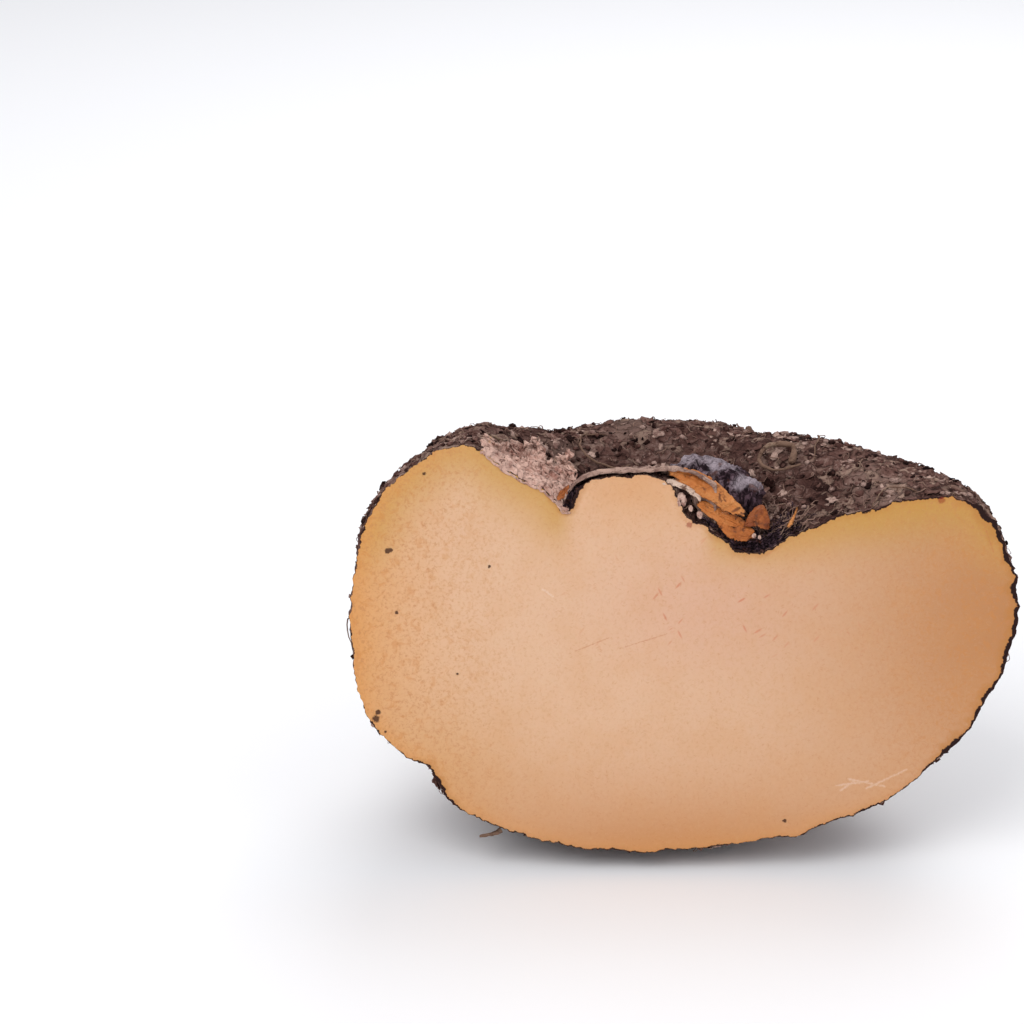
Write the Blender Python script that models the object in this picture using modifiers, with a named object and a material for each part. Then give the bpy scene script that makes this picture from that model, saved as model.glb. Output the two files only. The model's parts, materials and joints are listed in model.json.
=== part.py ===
"""Half of an elephant foot yam: a squat corm cut upright through its crown, leaning back on its underside.

The corm is a turned form whose profile changes as it goes round. Three half profiles are drawn, to the
left and to the right in the plane of the cut and one straight back, and the skin between them is a blend.
Everything is made in the corm's own frame: X across the cut face, Y back from it, Z up the corm's axis.
One empty then leans the whole half back and stands it on the floor at Z = 0.
"""

import math

import bmesh
import bpy
from mathutils import Matrix, Vector, noise
from mathutils.bvhtree import BVHTree

MM = 0.001

# Overall sizes of the half corm, in metres.
CORM_WIDTH = 0.220
CORM_HEIGHT = 0.138
CORM_DEPTH = 0.102

# How it stands.
LEAN = math.radians(10.0)
BASE_WORN = 0.0018

# Skin.
LUMP_HEIGHT = 0.0026
LUMP_SIZE = 0.045
KNOB_HEIGHT = 0.0009
KNOB_SIZE = 0.014
LUMPS_START = 0.016

# How fast the skin leaves the cut's profile behind the cut, as a power of the cosine of the turn. The
# right end is a lobe that narrows quickly.
LEFT_FULLNESS = 2.0
RIGHT_FULLNESS = 8.0

# Mesh density of the skin.
RING_STEP = 0.0052
HALF_TURN_STEPS = 44

# The corm's second material slot, for the face of the cut.
FLESH_SLOT = 1

# Dry pieces that lie on the corm keep this gap to it. Strands may dip to a share of it between bumps.
GAP = 0.0006
LEAST_GAP_SHARE = 0.6
CLEARING_STEPS = 30
PAPERY_THICKNESS = 0.0009
TORN_RADIUS = 0.0032
LEAF_BASE_RADIUS = 0.0066
ROOTLET_RADIUS = 0.0009

# Half profiles in millimetres, from the crown's centre to the underside's centre. Each row is one
# landmark as (radius, height): left in the cut, straight back, right in the cut.
PROFILE = (
    ((0.0, 124.9), (0.0, 124.9), (0.0, 124.9)),  # top of the bud mound
    ((14.5, 124.7), (11.5, 124.2), (5.5, 123.9)),
    ((22.3, 121.8), (17.5, 121.2), (8.9, 119.0)),  # brow of the mound
    ((25.3, 117.4), (20.8, 116.2), (11.2, 112.4)),
    ((25.4, 113.8), (23.4, 111.2), (19.2, 107.6)),  # foot of the mound
    ((28.0, 113.6), (28.2, 108.2), (27.6, 100.9)),  # floor of the crown groove
    ((33.4, 119.2), (34.6, 110.6), (36.2, 100.6)),
    ((40.2, 123.8), (42.6, 116.8), (45.8, 104.6)),
    ((47.4, 127.4), (51.0, 122.2), (57.6, 109.9)),
    ((53.4, 132.2), (60.0, 128.2), (72.6, 114.5)),
    ((58.8, 134.9), (68.4, 129.8), (89.6, 117.6)),  # top of the shoulder
    ((69.4, 133.3), (78.0, 127.2), (101.4, 117.6)),
    ((80.4, 126.4), (86.8, 120.0), (110.4, 112.2)),
    ((89.8, 114.4), (93.8, 109.6), (116.2, 103.0)),
    ((95.0, 101.5), (98.4, 96.0), (120.2, 92.0)),
    ((98.1, 82.0), (101.0, 80.0), (121.8, 79.0)),  # belly
    ((97.2, 62.0), (100.4, 61.0), (117.8, 62.4)),
    ((91.4, 43.5), (95.6, 43.0), (108.2, 43.5)),
    ((79.0, 32.0), (87.4, 27.0), (93.6, 28.6)),
    ((71.2, 28.2), (80.2, 17.0), (85.8, 22.6)),  # nick in the rim, low on the left
    ((67.2, 18.0), (70.8, 9.2), (76.0, 15.6)),
    ((51.6, 9.6), (55.4, 3.2), (54.0, 7.2)),
    ((32.2, 3.2), (36.2, 0.5), (32.4, 2.9)),
    ((14.0, 0.6), (17.0, 0.0), (14.0, 0.6)),
    ((0.0, 0.0), (0.0, 0.0), (0.0, 0.0)),  # centre of the underside
)
LAST_LANDMARK = len(PROFILE) - 1
DRAWN_WIDTH = (max(row[0][0] for row in PROFILE) + max(row[2][0] for row in PROFILE)) * MM
DRAWN_HEIGHT = max(height for row in PROFILE for _, height in row) * MM
DRAWN_DEPTH = max(row[1][0] for row in PROFILE) * MM
AXIS_MIDDLE = Vector((0.0, 0.0, 0.5 * CORM_HEIGHT))

# The papery scale's middle and half spans on the left shoulder's inner slope, as (landmark, degrees), and
# the bud scale's on the mound, as millimetres across and back.
PAPERY_MIDDLE = (7.6, 160)
PAPERY_REACH = (2.2, 16)
BUD_MIDDLE = (-6.2, 10.6)
BUD_REACH = (16.6, 9.4)
MOUND_FOOT = 4.0
HALVINGS = 24

# Routes over the skin are (landmark, turn in degrees, lift in millimetres). Turn 0 is the right rim of
# the cut, 90 the back and 180 the left rim. A swell is the share of a strand's radius at each point.
LEAF_BASE_ROUTE = (
    (6.5, 23, 1.0),
    (6.3, 29, 2.2),
    (6.1, 38, 3.4),
    (5.9, 49, 4.4),
    (5.7, 61, 4.6),
    (5.5, 73, 4.2),
)
LEAF_BASE_SWELL = (0.6, 1.0, 1.1, 1.05, 0.85, 0.45)
TORN_ROUTE = (
    (2.0, 34, 0.4),
    (2.8, 28, 0.7),
    (3.7, 22, 1.0),
    (4.6, 17, 1.4),
    (5.4, 14, 1.2),
    (6.0, 12, 0.2),
)
TORN_SWELL = (0.45, 0.9, 1.05, 1.1, 0.9, 0.5)
ROOTLET_ROUTES = {
    "rootlet_rim_stub": ((21.2, 176, 0.3), (21.1, 177, 2.2), (20.9, 178, 4.6)),
    "rootlet_crown_curl": (
        (8.6, 33, 0.2),
        (9.1, 37, 1.6),
        (8.7, 43, 2.4),
        (8.1, 42, 1.8),
        (8.1, 35, 1.0),
        (8.7, 30, 0.4),
    ),
    "rootlet_shoulder": (
        (11.0, 62, 0.2),
        (11.8, 66, 1.6),
        (12.4, 73, 1.0),
        (12.6, 82, 0.4),
        (12.2, 90, 0.8),
        (12.4, 97, 0.2),
    ),
    "rootlet_back_loop": (
        (13.9, 118, 0.2),
        (13.3, 112, 1.8),
        (13.5, 103, 2.8),
        (14.3, 98, 2.4),
        (15.2, 99, 1.6),
        (15.9, 105, 0.8),
        (16.4, 113, 0.4),
    ),
    "rootlet_left_long": (
        (12.3, 138, 0.3),
        (13.2, 141, 1.8),
        (14.4, 144, 3.4),
        (15.6, 145, 4.0),
        (16.6, 143, 2.8),
        (17.4, 140, 1.4),
        (18.0, 138, 0.5),
    ),
    "rootlet_right_low": (
        (15.4, 40, 0.2),
        (16.0, 36, 1.2),
        (16.7, 34, 0.8),
        (17.3, 37, 0.4),
        (17.8, 42, 0.3),
    ),
}
ROUTE_POINTS_PER_SPAN = 5
ROOTLET_THICK_END = 1.25
ROOTLET_THIN_END = 0.45


def catmull(before, start, end, after, share):
    """Catmull-Rom value at share (0 to 1) of the way from start to end; works on numbers and vectors."""
    return 0.5 * (
        2 * start
        + (end - before) * share
        + (2 * before - 5 * start + 4 * end - after) * share**2
        + (3 * start - before - 3 * end + after) * share**3
    )


def along(points, station):
    """A smooth curve through a list of numbers or vectors, read at a fractional index."""
    last = len(points) - 1
    index = min(int(station), last - 1)
    before = points[max(index - 1, 0)]
    after = points[min(index + 2, last)]
    return catmull(before, points[index], points[index + 1], after, station - index)


PROFILE_CURVES = [
    [[row[side][axis] for row in PROFILE] for axis in (0, 1)] for side in (0, 1, 2)
]
SIDE_SCALES = (CORM_WIDTH / DRAWN_WIDTH, CORM_DEPTH / DRAWN_DEPTH, CORM_WIDTH / DRAWN_WIDTH)


def smooth_share(value):
    share = min(max(value, 0.0), 1.0)
    return share * share * (3 - 2 * share)


def profile_point(side, station):
    """Radius and height in metres of one half profile: side 0 is left, 1 back and 2 right."""
    radius = max(along(PROFILE_CURVES[side][0], station), 0.0) * MM * SIDE_SCALES[side]
    height = along(PROFILE_CURVES[side][1], station) * MM * CORM_HEIGHT / DRAWN_HEIGHT
    return radius, height


def skin_point(station, turn):
    """A point of the skin: station runs over the landmarks, turn from the right rim (0) to the left (pi)."""
    rim_side = 2 if turn < math.pi / 2 else 0
    rim_share = abs(math.cos(turn)) ** (RIGHT_FULLNESS if turn < math.pi / 2 else LEFT_FULLNESS)
    rim_radius, rim_height = profile_point(rim_side, station)
    back_radius, back_height = profile_point(1, station)
    radius = rim_share * rim_radius + (1 - rim_share) * back_radius
    height = rim_share * rim_height + (1 - rim_share) * back_height
    point = Vector((radius * math.cos(turn), radius * math.sin(turn), height))
    lumps = LUMP_HEIGHT * noise.noise(point / LUMP_SIZE) + KNOB_HEIGHT * noise.noise(point / KNOB_SIZE)
    outward = (point - AXIS_MIDDLE).normalized()
    return point + outward * lumps * 2 * smooth_share(point.y / LUMPS_START)


def skin_normal(station, turn):
    """The skin's outward direction, from its slopes along the profile and round the axis."""
    step = 0.05
    low, high = max(station - step, 0.0), min(station + step, LAST_LANDMARK)
    down = skin_point(high, turn) - skin_point(low, turn)
    left, right = min(turn + step, math.pi), max(turn - step, 0.0)
    around = skin_point(station, left) - skin_point(station, right)
    return down.cross(around).normalized()


def above_skin(station, turn, lift):
    """The point that stands lift metres off the skin."""
    return skin_point(station, turn) + skin_normal(station, turn) * lift


def clear_point(skin_tree, placed, point, reach):
    """The point, moved step by step until it is reach metres off the skin and off the balls placed."""
    for _ in range(CLEARING_STEPS):
        nearest, outward, _, _ = skin_tree.find_nearest(point)
        if (point - nearest).dot(outward) < 0 or (point - nearest).length < reach:
            point = nearest + outward * reach
        for centre, radius in placed:
            away = point - centre
            if away.length < radius + reach:
                point = centre + away.normalized() * (radius + reach)
    return point


def ring_stations():
    """Stations of the mesh's rings, about RING_STEP apart over the right profile of the cut."""
    stations = [0.0]
    for index in range(LAST_LANDMARK):
        length = (skin_point(index + 1, 0.0) - skin_point(index, 0.0)).length
        steps = max(1, round(length / RING_STEP))
        stations += [index + (k + 1) / steps for k in range(steps)]
    return stations


def add_object(name, data, material, stand):
    obj = bpy.data.objects.new(name, data)
    obj.data.materials.append(material)
    obj.parent = stand
    stand.users_collection[0].objects.link(obj)
    return obj


def add_material(name, colour, roughness):
    material = bpy.data.materials.new(name)
    material.use_nodes = True
    shader = material.node_tree.nodes["Principled BSDF"]
    shader.inputs["Base Color"].default_value = (*colour, 1.0)
    shader.inputs["Roughness"].default_value = roughness
    shader.inputs["Metallic"].default_value = 0.0
    material.diffuse_color = (*colour, 1.0)
    return material


def half_corm(down):
    """The corm as one solid: a sphere's back half moved onto the skin, the cut and the worn base closed.

    Returns the bmesh and how far along down, the floor's direction in the corm's frame, its base lies.
    """
    stations = ring_stations()
    rings = len(stations) - 1
    mesh = bmesh.new()
    bmesh.ops.create_uvsphere(mesh, u_segments=2 * HALF_TURN_STEPS, v_segments=rings, radius=1.0)
    front = [vertex for vertex in mesh.verts if vertex.co.y < -1e-4]
    bmesh.ops.delete(mesh, geom=front, context="VERTS")
    for vertex in mesh.verts:
        ring = round(math.acos(min(max(vertex.co.z, -1.0), 1.0)) / math.pi * rings)
        turn = abs(math.atan2(vertex.co.y, vertex.co.x))
        in_cut = turn < 1e-3 or turn > math.pi - 1e-3 or ring in (0, rings)
        vertex.co = skin_point(stations[ring], turn)
        if in_cut:
            vertex.co.y = 0.0
    for face in close_holes(mesh):
        face.material_index = FLESH_SLOT
    floor_at = max(vertex.co.dot(down) for vertex in mesh.verts) - BASE_WORN
    everything = mesh.verts[:] + mesh.edges[:] + mesh.faces[:]
    bmesh.ops.bisect_plane(mesh, geom=everything, plane_co=down * floor_at, plane_no=down, clear_outer=True)
    close_holes(mesh)
    bmesh.ops.recalc_face_normals(mesh, faces=mesh.faces[:])
    return mesh, floor_at


def close_holes(mesh):
    """Fills each open loop with one face and returns the new faces."""
    rim = [edge for edge in mesh.edges if len(edge.link_faces) == 1]
    return bmesh.ops.edgeloop_fill(mesh, edges=rim)["faces"]


def on_shoulder(x, y):
    """Where the papery scale's sheet, -1 to 1 each way, lies on the skin, as (station, turn)."""
    station = PAPERY_MIDDLE[0] + PAPERY_REACH[0] * x
    return station, math.radians(PAPERY_MIDDLE[1] + PAPERY_REACH[1] * y)


def on_mound(x, y):
    """Where the bud scale's sheet, -1 to 1 each way, lies on the mound, as (station, turn)."""
    across = (BUD_MIDDLE[0] + BUD_REACH[0] * x) * MM * SIDE_SCALES[0]
    back = (BUD_MIDDLE[1] + BUD_REACH[1] * y) * MM * SIDE_SCALES[1]
    turn = math.atan2(back, across)
    low, high = 0.0, MOUND_FOOT
    for _ in range(HALVINGS):
        station = (low + high) / 2
        point = skin_point(station, turn)
        if math.hypot(point.x, point.y) < math.hypot(across, back):
            low = station
        else:
            high = station
    return station, turn


def plate(name, place, segments, material, stand):
    """A dry scale that lies on the skin: an oval sheet bent over it, thickened outwards."""
    mesh = bmesh.new()
    bmesh.ops.create_grid(mesh, x_segments=segments[0], y_segments=segments[1], size=1.0)
    for vertex in mesh.verts:
        x, y, _ = vertex.co
        station, turn = place(x * math.sqrt(1 - y * y / 2), y * math.sqrt(1 - x * x / 2))
        vertex.co = above_skin(station, turn, GAP)
    bmesh.ops.recalc_face_normals(mesh, faces=mesh.faces[:])
    mesh.normal_update()
    facing = sum((face.normal for face in mesh.faces), Vector())
    if facing.dot(skin_normal(*place(0.0, 0.0))) < 0:
        bmesh.ops.reverse_faces(mesh, faces=mesh.faces[:])
    data = bpy.data.meshes.new(name)
    mesh.to_mesh(data)
    mesh.free()
    data.shade_smooth()
    obj = add_object(name, data, material, stand)
    solidify = obj.modifiers.new("thickness", "SOLIDIFY")
    solidify.thickness = PAPERY_THICKNESS
    solidify.offset = 1.0
    return obj


def strand(name, route, radius, swell, skin_tree, placed, material, stand):
    """A tapering strand that follows the skin: a root, torn tissue or the base of the old leaf.

    Placed are the balls (centre, radius) that another strand fills. Returns this strand's own.
    """
    anchors = [
        above_skin(station, math.radians(turn), radius + GAP + lift * MM) for station, turn, lift in route
    ]
    count = (len(anchors) - 1) * ROUTE_POINTS_PER_SPAN + 1
    curve = bpy.data.curves.new(name, "CURVE")
    curve.dimensions = "3D"
    curve.bevel_depth = radius
    curve.bevel_resolution = 2
    curve.use_fill_caps = True
    spline = curve.splines.new("POLY")
    spline.points.add(count - 1)
    for index, point in enumerate(spline.points):
        station = index / ROUTE_POINTS_PER_SPAN
        point.radius = along(swell, station)
        reach = radius * point.radius + GAP * LEAST_GAP_SHARE
        point.co = (*clear_point(skin_tree, placed, along(anchors, station), reach), 1.0)
    add_object(name, curve, material, stand)
    return [(Vector(point.co[:3]), radius * point.radius) for point in spline.points]


def main():
    for obj in list(bpy.data.objects):
        bpy.data.objects.remove(obj)
    collection = bpy.data.collections.new("elephant_foot_yam_half")
    bpy.context.scene.collection.children.link(collection)
    stand = bpy.data.objects.new("stand", None)
    collection.objects.link(stand)

    skin = add_material("skin", (0.17, 0.115, 0.085), 0.9)
    flesh = add_material("flesh", (0.85, 0.58, 0.36), 0.55)
    papery = add_material("papery_scale", (0.56, 0.42, 0.34), 0.8)
    torn = add_material("torn_scale", (0.66, 0.33, 0.10), 0.6)
    leaf_base = add_material("old_leaf_base", (0.13, 0.11, 0.13), 0.85)
    root = add_material("root", (0.26, 0.19, 0.13), 0.85)

    lean = Matrix.Rotation(-LEAN, 4, "X")
    down = lean.inverted() @ Vector((0.0, 0.0, -1.0))
    mesh, floor_at = half_corm(down)
    skin_tree = BVHTree.FromBMesh(mesh)
    data = bpy.data.meshes.new("corm_half")
    mesh.to_mesh(data)
    mesh.free()
    data.shade_smooth()
    data.set_sharp_from_angle(angle=math.radians(50))
    corm = add_object("corm_half", data, skin, stand)
    corm.data.materials.append(flesh)

    plate("papery_scale", on_shoulder, (9, 9), papery, stand)
    plate("bud_scale", on_mound, (22, 10), papery, stand)
    tissue = strand("torn_scale", TORN_ROUTE, TORN_RADIUS, TORN_SWELL, skin_tree, [], torn, stand)
    sizes = (LEAF_BASE_ROUTE, LEAF_BASE_RADIUS, LEAF_BASE_SWELL)
    strand("old_leaf_base", *sizes, skin_tree, tissue, leaf_base, stand)
    for name, route in ROOTLET_ROUTES.items():
        thinning = (ROOTLET_THICK_END - ROOTLET_THIN_END) / (len(route) - 1)
        taper = [ROOTLET_THICK_END - thinning * index for index in range(len(route))]
        strand(name, route, ROOTLET_RADIUS, taper, skin_tree, [], root, stand)

    stand.matrix_world = lean
    bpy.context.view_layer.update()
    graph = bpy.context.evaluated_depsgraph_get()
    points = []
    for part in collection.objects:
        if part.type != "EMPTY":
            shown = part.evaluated_get(graph)
            points += [shown.matrix_world @ vertex.co for vertex in shown.to_mesh().vertices]
            shown.to_mesh_clear()
    middle_x = (min(point.x for point in points) + max(point.x for point in points)) / 2
    middle_y = (min(point.y for point in points) + max(point.y for point in points)) / 2
    stand.location = (-middle_x, -middle_y, floor_at)


main()
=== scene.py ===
"""Half an elephant foot yam, cut upright through its crown and resting on its rounded underside.

The corm is one solid with a corky, scarred, soil-caked skin and a flat face of pale flesh. Dry scales,
the shrivelled base of the old leaf and dry roots still cling to it.
"""

import json
import math
import random

import bmesh
import bpy
from mathutils import Matrix, Vector, kdtree, noise
from mathutils.bvhtree import BVHTree


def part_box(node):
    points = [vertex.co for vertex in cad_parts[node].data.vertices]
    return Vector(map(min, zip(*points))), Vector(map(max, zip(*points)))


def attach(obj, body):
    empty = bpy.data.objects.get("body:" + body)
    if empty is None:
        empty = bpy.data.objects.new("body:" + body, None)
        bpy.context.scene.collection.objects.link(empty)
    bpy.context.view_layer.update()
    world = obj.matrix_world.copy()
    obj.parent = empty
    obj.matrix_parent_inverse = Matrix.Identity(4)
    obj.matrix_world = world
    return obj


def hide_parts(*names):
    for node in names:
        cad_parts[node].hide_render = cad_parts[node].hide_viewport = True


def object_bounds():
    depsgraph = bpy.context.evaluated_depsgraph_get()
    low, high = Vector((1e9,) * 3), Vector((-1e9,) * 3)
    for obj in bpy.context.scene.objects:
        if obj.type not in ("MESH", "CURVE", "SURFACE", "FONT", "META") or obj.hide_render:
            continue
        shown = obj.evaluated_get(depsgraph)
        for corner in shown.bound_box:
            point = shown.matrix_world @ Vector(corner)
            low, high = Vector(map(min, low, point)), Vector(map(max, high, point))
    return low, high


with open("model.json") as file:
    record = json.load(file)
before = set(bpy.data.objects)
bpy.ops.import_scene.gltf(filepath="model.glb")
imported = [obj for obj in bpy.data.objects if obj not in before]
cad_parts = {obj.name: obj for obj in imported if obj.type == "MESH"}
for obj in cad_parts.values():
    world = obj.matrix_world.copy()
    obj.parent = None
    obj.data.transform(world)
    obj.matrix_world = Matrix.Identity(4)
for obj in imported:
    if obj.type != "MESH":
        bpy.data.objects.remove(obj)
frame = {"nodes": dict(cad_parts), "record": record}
cad_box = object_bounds()
MM = 0.001

# ---- The corm ------------------------------------------------------------------------------------
# One grown solid: starchy flesh in a corky skin, parted by one knife stroke. The frame's solid has its
# cut end drawn out, is remeshed finely and roughened, and the same plane then cuts it again, so that the
# skin's roughness runs right up to the rim of the cut.

mounts = {mount["name"]: mount for mount in frame["record"]["mounts"]}
CUT_POINT = Vector(mounts["cut_face"]["pos_m"])
CUT_NORMAL = Vector(mounts["cut_face"]["axis"]).normalized()
CUT_UP = Vector((1.0, 0.0, 0.0)).cross(-CUT_NORMAL).normalized()
corm_low, corm_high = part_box("corm_half")
CROWN_SHARE = 0.446  # the bud stands a little left of the middle
BUD_X = corm_low.x + CROWN_SHARE * (corm_high.x - corm_low.x)
FACE_X = BUD_X + 9 * MM  # places across the cut are counted from here

VOXEL = 1.02 * MM
DRAWN_OUT = 10 * MM
FLESH = 1  # the cut face's material slot; the skin has slot 0


def settle(obj):
    """The object's mesh with its modifiers worked in, as a bmesh; the object itself goes."""
    graph = bpy.context.evaluated_depsgraph_get()
    data = bpy.data.meshes.new_from_object(obj.evaluated_get(graph))
    settled = bmesh.new()
    settled.from_mesh(data)
    bpy.data.objects.remove(obj)
    bpy.data.meshes.remove(data)
    return settled


def link_mesh(name, mesh):
    data = bpy.data.meshes.new(name)
    mesh.to_mesh(data)
    mesh.free()
    obj = bpy.data.objects.new(name, data)
    bpy.context.scene.collection.objects.link(obj)
    return obj


def merged_copy(node):
    """A CAD node's solid as a bmesh with its doubled corners merged."""
    mesh = bmesh.new()
    mesh.from_mesh(frame["nodes"][node].data)
    bmesh.ops.remove_doubles(mesh, verts=mesh.verts[:], dist=0.01 * MM)
    mesh.normal_update()
    return mesh


def smooth_share(value):
    share = min(max(value, 0.0), 1.0)
    return share * share * (3 - 2 * share)


def corm_place(point):
    """A point in the corm's own frame: across from the bud, behind the cut, up from the cut's middle."""
    offset = point - CUT_POINT
    return point.x - BUD_X, -offset.dot(CUT_NORMAL), offset.dot(CUT_UP)


drawn = merged_copy("corm_half")
for vertex in drawn.verts:
    if corm_place(vertex.co)[1] < 0.05 * MM:
        vertex.co += CUT_NORMAL * DRAWN_OUT
blank = link_mesh("blank", drawn)
remesh = blank.modifiers.new("remesh", "REMESH")
remesh.mode = "VOXEL"
remesh.voxel_size = VOXEL
even = blank.modifiers.new("even", "SMOOTH")
even.factor = 0.5
even.iterations = 8
corm_mesh = settle(blank)
corm_mesh.normal_update()

# Root scars: round corky rings with a sunken middle, thickest on the shoulders and sides.
SCAR_RADIUS = (1.7 * MM, 4.4 * MM)
SCAR_SPACING = 2.15
SCAR_COUNT = 420
SCAR_TRIES = 9000
choose = random.Random(11)
scars = []
candidates = list(range(len(corm_mesh.verts)))
choose.shuffle(candidates)
corm_mesh.verts.ensure_lookup_table()
for index in candidates[:SCAR_TRIES]:
    site = corm_mesh.verts[index]
    radius = SCAR_RADIUS[0] + (SCAR_RADIUS[1] - SCAR_RADIUS[0]) * choose.random() ** 2.2
    if all((site.co - other).length > SCAR_SPACING * max(radius, reach) for other, reach, _ in scars):
        scars.append((site.co.copy(), radius, choose.random()))
    if len(scars) == SCAR_COUNT:
        break
scar_tree = kdtree.KDTree(len(scars))
for index, (site, _, _) in enumerate(scars):
    scar_tree.insert(site, index)
scar_tree.balance()

LEDGE_STEP = 7.5 * MM
LEDGE_HEIGHT = 1.1 * MM
LUMP = 1.3 * MM
CRUST = 1.1 * MM
FLAT_FADE = 2.5 * MM

scar_layer = corm_mesh.verts.layers.float.new("scar")
tone_layer = corm_mesh.verts.layers.float.new("scar_tone")
soil_and_shade_layer = corm_mesh.verts.layers.float.new("soil_and_shade")
lift = []
for vertex in corm_mesh.verts:
    point = vertex.co
    across, behind, up = corm_place(point)
    outward = math.hypot(across, max(behind, 0.0))
    # Growth ledges ring the crown: they follow the way down the outside from the bud.
    wander = 9 * MM * noise.noise(point / (34 * MM)) + 2.2 * MM * noise.noise(point / (9 * MM))
    ledge = ((outward - up + wander) / LEDGE_STEP) % 1.0
    ledge_share = smooth_share((up + 30 * MM) / (60 * MM)) * (0.45 + 0.55 * noise.noise(point / (21 * MM)))
    relief = LEDGE_HEIGHT * ledge_share * (ledge**3 - 0.25)
    relief += LUMP * noise.noise(point / (11 * MM))
    crust = noise.fractal(point / (3.4 * MM), 0.9, 2.1, 3)
    relief += CRUST * (abs(crust) - 0.25)
    site, index, away = scar_tree.find(point)
    _, radius, tone = scars[index]
    away /= radius
    ring = math.exp(-(((away - 0.78) / 0.2) ** 2))
    pit = math.exp(-((away / 0.5) ** 2))
    nub = math.exp(-((away / 0.2) ** 2))
    relief += radius * (0.24 * ring - 0.2 * pit + 0.14 * nub) * (0.4 + 0.6 * tone)
    vertex[scar_layer] = min(away, 3.0)
    vertex[tone_layer] = tone
    # The crown's groove is darker: dark soil stays there, and painted shade lies over it.
    in_groove = smooth_share((up - 26 * MM) / (22 * MM))
    vertex[soil_and_shade_layer] = in_groove * smooth_share((92 * MM - outward) / (50 * MM))
    lift.append(relief * smooth_share(point.z / FLAT_FADE))
for vertex, relief in zip(corm_mesh.verts, lift):
    vertex.co += vertex.normal * relief
    vertex.co.z = max(vertex.co.z, 0.0)

everything = corm_mesh.verts[:] + corm_mesh.edges[:] + corm_mesh.faces[:]
bmesh.ops.bisect_plane(corm_mesh, geom=everything, plane_co=CUT_POINT, plane_no=CUT_NORMAL, clear_outer=True)
open_rim = [edge for edge in corm_mesh.edges if len(edge.link_faces) == 1]
for face in bmesh.ops.edgeloop_fill(corm_mesh, edges=open_rim)["faces"]:
    face.material_index = FLESH
    face.normal_update()
    if face.normal.dot(CUT_NORMAL) < 0:
        face.normal_flip()

# The cut is one many-sided face. It is split into small triangles, finest at the rim, to carry colours.
rim_points = [vertex.co.copy() for edge in open_rim for vertex in edge.verts]
rim_tree = kdtree.KDTree(len(rim_points))
for index, point in enumerate(rim_points):
    rim_tree.insert(point, index)
rim_tree.balance()
FINEST_SPLIT = 0.9 * MM
COARSEST_SPLIT = 4.0 * MM
SPLIT_GROWTH = 0.4
SPLIT_ROUNDS = 14


def flesh_faces():
    return [face for face in corm_mesh.faces if face.material_index == FLESH]


def split_length(point):
    return min(FINEST_SPLIT + SPLIT_GROWTH * rim_tree.find(point)[2], COARSEST_SPLIT)


def inner_edges():
    """The flesh's edges but not its rim, in mesh order. A set's order would change from run to run."""
    edges = dict.fromkeys(edge for face in flesh_faces() for edge in face.edges)
    return [edge for edge in edges if all(face.material_index == FLESH for face in edge.link_faces)]


bmesh.ops.triangulate(corm_mesh, faces=flesh_faces())
for _ in range(SPLIT_ROUNDS):
    bmesh.ops.beautify_fill(corm_mesh, faces=flesh_faces(), edges=inner_edges(), method="ANGLE")
    too_long = [
        edge
        for edge in inner_edges()
        if edge.calc_length() > split_length((edge.verts[0].co + edge.verts[1].co) / 2)
    ]
    if not too_long:
        break
    bmesh.ops.subdivide_edges(corm_mesh, edges=too_long, cuts=1)
    bmesh.ops.triangulate(corm_mesh, faces=[face for face in flesh_faces() if len(face.verts) > 3])
    inside = dict.fromkeys(vertex for face in flesh_faces() for vertex in face.verts)
    inside = [v for v in inside if all(face.material_index == FLESH for face in v.link_faces)]
    bmesh.ops.smooth_vert(
        corm_mesh, verts=inside, factor=0.5, use_axis_x=True, use_axis_y=True, use_axis_z=True
    )

# The flesh is palest at its heart. These zones lie over that, one on another: the middle and the reach
# (across, up) in mm, the colour, and how strongly it covers. The right lobe's zone is partly painted shade.
HEART = Vector((0.75, 0.48, 0.31))
ZONES = (
    ((10, 18), (35, 22), Vector((0.72, 0.43, 0.30)), 0.8),  # pink round the bud's old strands
    # right lobe: browned by the air, and partly painted shade, darker away from the light
    ((112, 12), (65, 75), Vector((0.52, 0.24, 0.10)), 1.0),  # right lobe, browned by the air
    ((70, 58), (34, 17), Vector((0.50, 0.27, 0.09)), 0.8),  # yellow under the right shoulder
    ((-14, 60), (22, 15), Vector((0.70, 0.37, 0.18)), 0.8),  # bud mound
    ((-112, 10), (26, 60), Vector((0.71, 0.34, 0.11)), 0.9),  # orange left side
    ((-85, -45), (32, 30), Vector((0.66, 0.35, 0.14)), 0.8),  # left of the underside
    ((5, -75), (110, 32), Vector((0.58, 0.26, 0.10)), 1.0),  # deep orange underside
)
ORANGE = Vector((0.70, 0.32, 0.10))
EDGE_ORANGE = 4 * MM
# Golden flesh along the crown's skin, except on the mound: its colour, reach and strength.
YELLOW = Vector((0.58, 0.31, 0.07))
EDGE_YELLOW = 12 * MM
YELLOW_STRENGTH = 0.8
MOUND_ACROSS = -13
MOUND_HALF = 19
FIBRE_PLACE = (14, 18, 42, 20)
# How thick the dark skin shows at the rim: (across, up, mm).
RIND = (
    (-105, 30, 0.05),
    (-106, -5, 0.05),
    (-92, -30, 0.15),
    (-81, -42, 0.7),
    (-60, -55, 0.25),
    (-90, 52, 0.1),
    (-70, 69, 0.1),
    (-48, 64, 0.2),
    (-37, 52, 0.7),
    (-20, 61, 0.12),
    (-6, 60, 0.12),
    (3, 52, 0.4),
    (14, 40, 0.5),
    (28, 34, 0.6),
    (44, 42, 0.35),
    (62, 50, 0.5),
    (84, 56, 0.5),
    (104, 48, 1.2),
    (112, 18, 1.3),
    (110, -8, 0.9),
    (99, -26, 1.1),
    (75, -44, 0.4),
    (40, -58, 0.3),
    (0, -64, 0.25),
)

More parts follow.
